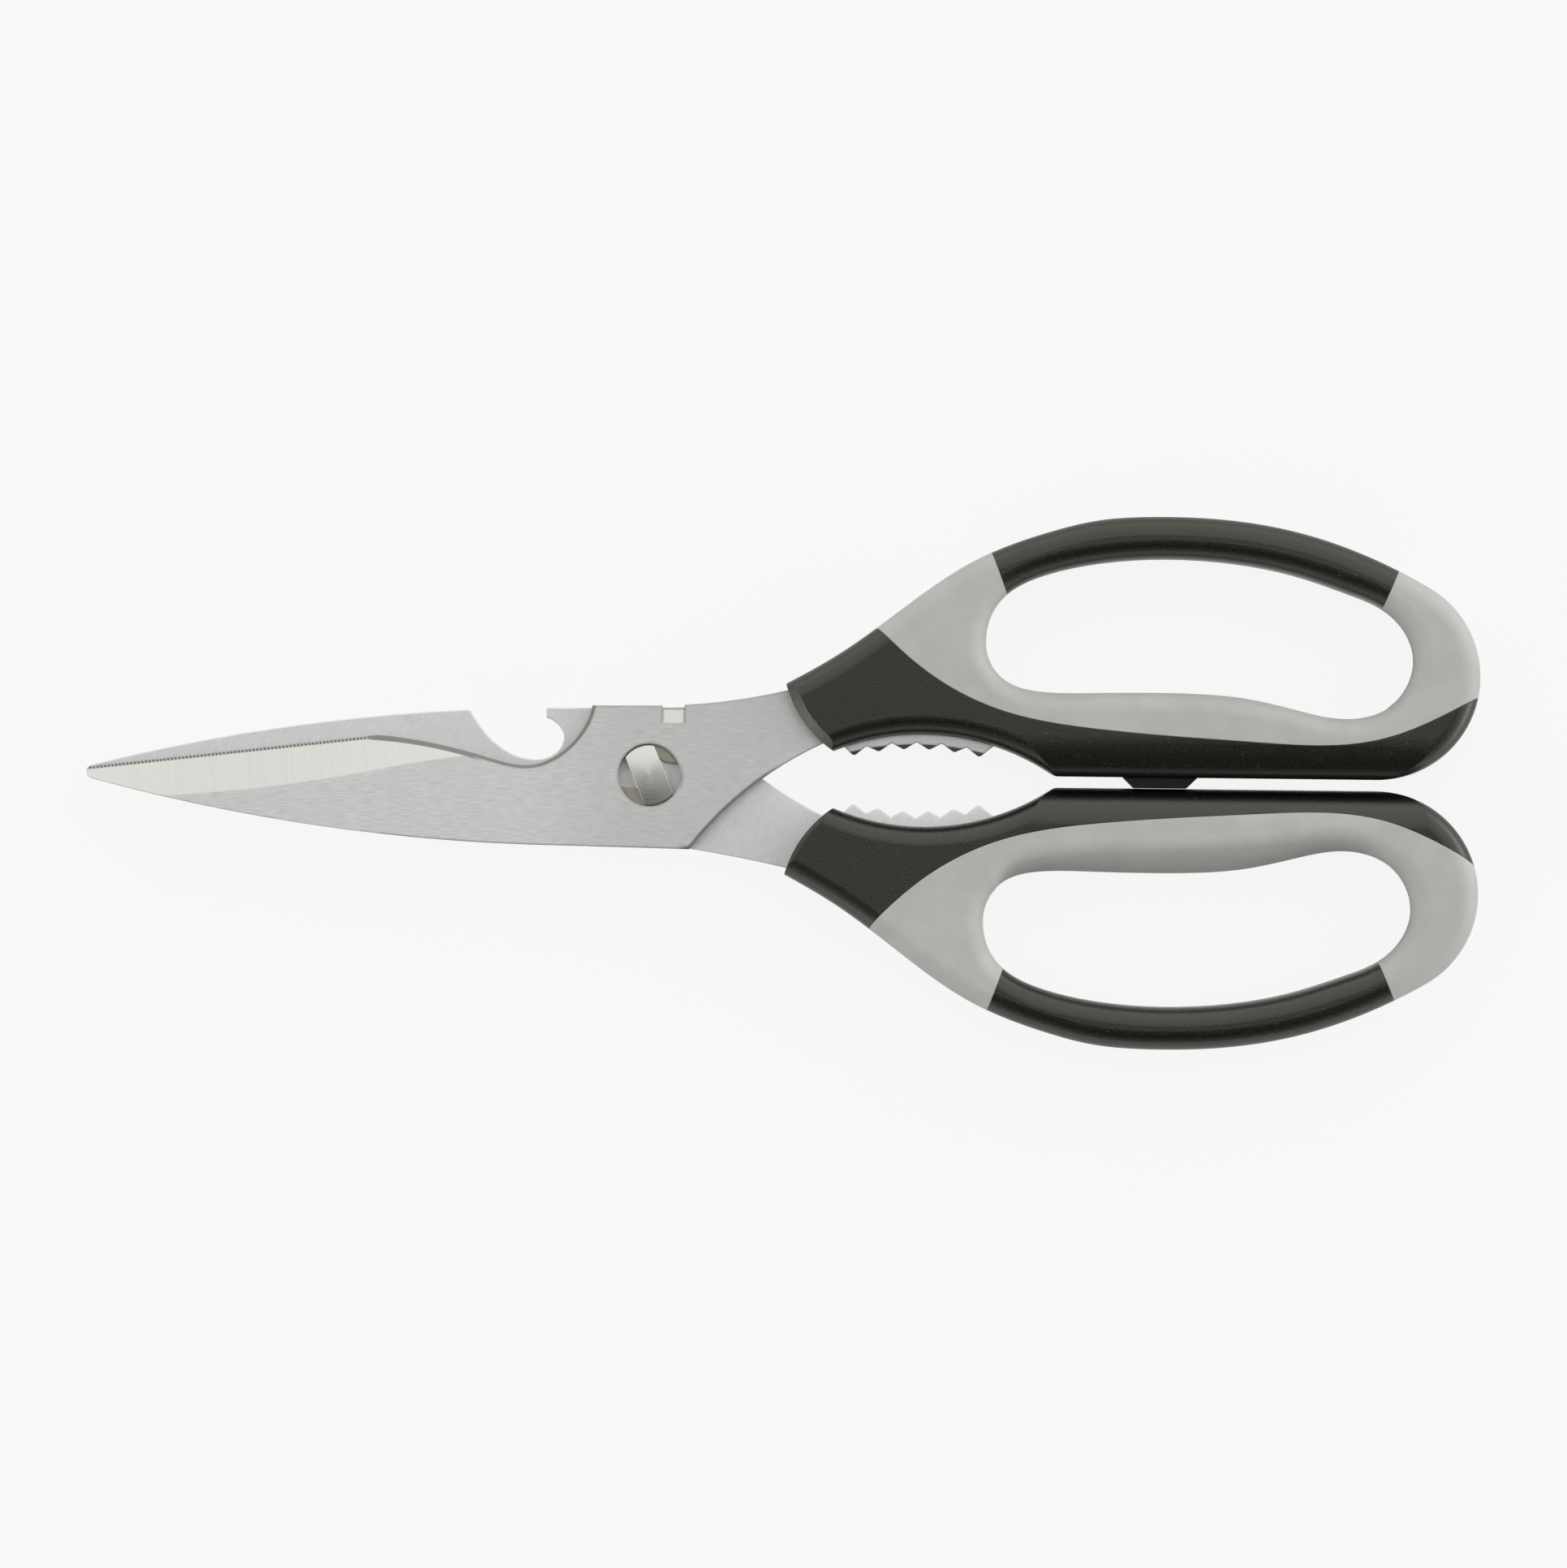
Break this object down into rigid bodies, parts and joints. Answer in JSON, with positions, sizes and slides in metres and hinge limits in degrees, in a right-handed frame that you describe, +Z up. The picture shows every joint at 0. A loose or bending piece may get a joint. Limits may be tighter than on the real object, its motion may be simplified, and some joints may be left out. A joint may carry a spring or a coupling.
{
  "type": "kitchen shears",
  "caption": "Take-apart kitchen shears with brushed steel blades, a crown-cap opener, nutcracker jaws and black handles with soft grey grips.",
  "frame": {"origin": "under the middle of the closed shears, on the surface that they lie on", "axes": "+X from the blade tips towards the handles, +Y to the side of the front handle, +Z up along the pivot"},
  "size_m": [0.225, 0.086, 0.013],
  "materials": {
    "blade_steel": "brushed",
    "stud_steel": "turned",
    "handle_plastic": "fine texture",
    "grip_rubber": "matt, fine texture",
    "bumper_plastic": "fine texture"
  },
  "bodies": {
    "rear_half": {"rear_blade": "blade_steel", "pivot_stud": "stud_steel", "rear_handle_core": "handle_plastic", "rear_handle_grip": "grip_rubber"},
    "front_half": {"front_blade": "blade_steel", "front_handle_core": "handle_plastic", "front_handle_grip": "grip_rubber", "handle_bumper": "bumper_plastic"}
  },
  "joints": [
    {"name": "blade_pivot", "type": "hinge", "parent": "rear_half", "child": "front_half", "pos_m": [-0.0215, 0.0004, 0.0065], "axis": [0, 0, 1], "range_deg": [0, 117]}
  ]
}
